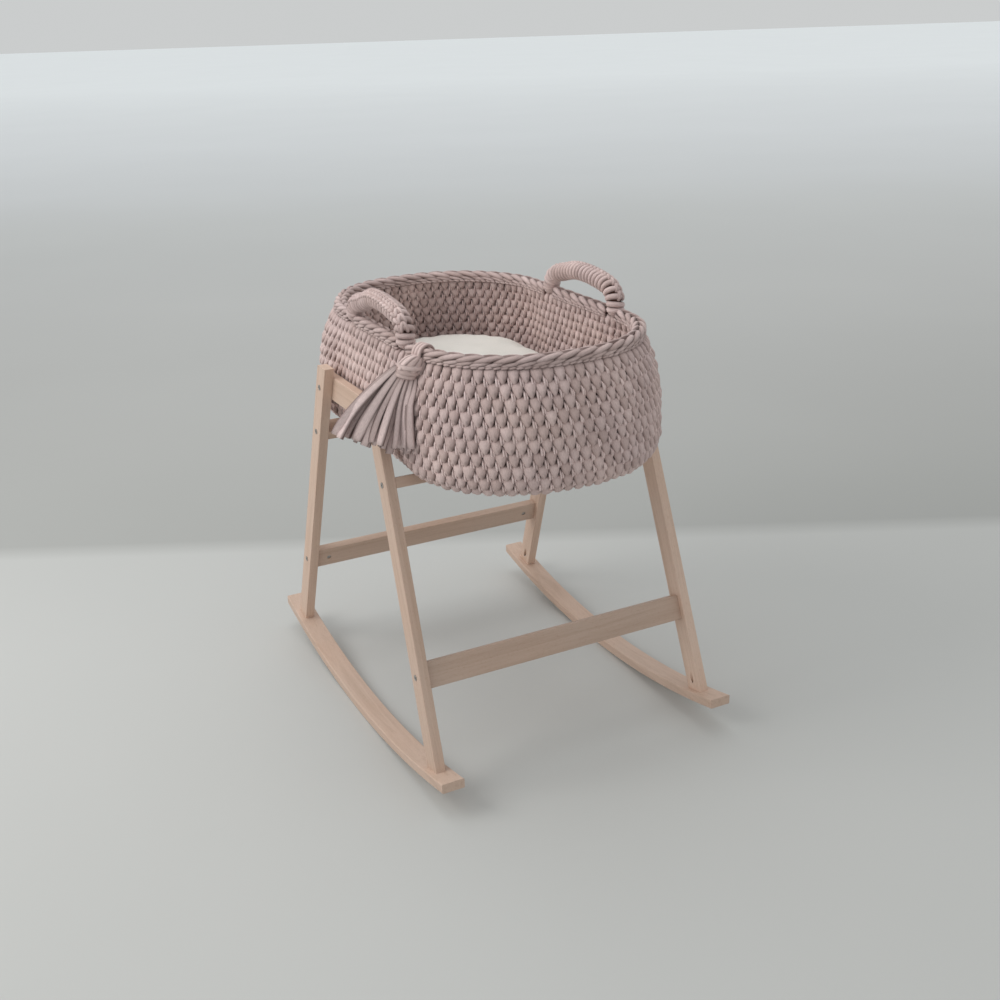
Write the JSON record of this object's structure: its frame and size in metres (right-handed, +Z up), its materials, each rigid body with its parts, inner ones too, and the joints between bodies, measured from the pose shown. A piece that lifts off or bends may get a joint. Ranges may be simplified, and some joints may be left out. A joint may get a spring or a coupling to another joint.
{
  "type": "rocking bassinet",
  "caption": "Crocheted oval carry bassinet with arched handles, a tassel and a mattress, resting on a wooden rocking stand with splayed legs and curved runners.",
  "frame": {"origin": "on the floor under the middle of the stand, where the rockers touch it", "axes": "+Z up, +Y along the basket and the rockers towards the back, +X across the stand from the left end frame to the right one"},
  "size_m": [0.6882, 0.9, 0.8919],
  "materials": {
    "beech": "planed and sanded, matt",
    "steel": "zinc plated",
    "yarn": "thick cotton jersey yarn, matt",
    "rope": "twisted cotton rope",
    "cotton": "woven cotton, matt",
    "foam": "open-cell foam"
  },
  "bodies": {
    "stand": {"rocker_left": "beech", "rocker_right": "beech", "leg_front_left": "beech", "leg_back_left": "beech", "leg_front_right": "beech", "leg_back_right": "beech", "cross_rail_left": "beech", "cross_rail_right": "beech", "stretcher_front": "beech", "stretcher_back": "beech", "bearer_front": "beech", "bearer_back": "beech", "stretcher_bolts": "steel", "stretcher_barrel_nuts": "steel", "bearer_bolts": "steel", "bearer_barrel_nuts": "steel", "cross_rail_bolts": "steel", "cross_rail_sleeve_nuts": "steel", "foot_screws": "steel", "foot_dowels": "beech"},
    "basket": {"basket_base": "yarn", "basket_wall": "yarn", "basket_rim": "yarn", "tassel_loop": "yarn"},
    "handle_left": {"handle_left_sleeve": "yarn", "handle_left_rope": "rope"},
    "handle_right": {"handle_right_sleeve": "yarn", "handle_right_rope": "rope"},
    "tassel": {"tassel_head": "yarn", "tassel_skirt": "yarn"},
    "mattress": {"mattress_cover": "cotton", "mattress_foam": "foam"}
  },
  "joints": [
    {"name": "basket_lift", "type": "slide", "parent": "stand", "child": "basket", "axis": [0, 0, 1], "range_m": [0, 0.3]},
    {"name": "mattress_lift", "type": "slide", "parent": "basket", "child": "mattress", "axis": [0, 0, 1], "range_m": [0, 0.25]},
    {"name": "handle_left_fold", "type": "hinge", "parent": "basket", "child": "handle_left", "pos_m": [-0.222, -0.038, 0.82505], "axis": [0, -1, 0], "range_deg": [-62, 60]},
    {"name": "handle_right_fold", "type": "hinge", "parent": "basket", "child": "handle_right", "pos_m": [0.222, -0.038, 0.82505], "axis": [0, 1, 0], "range_deg": [-62, 60]},
    {"name": "tassel_swing", "type": "hinge", "parent": "basket", "child": "tassel", "pos_m": [-0.24002, -0.2384, 0.80705], "axis": [0, 1, 0], "range_deg": [0, 45]}
  ]
}
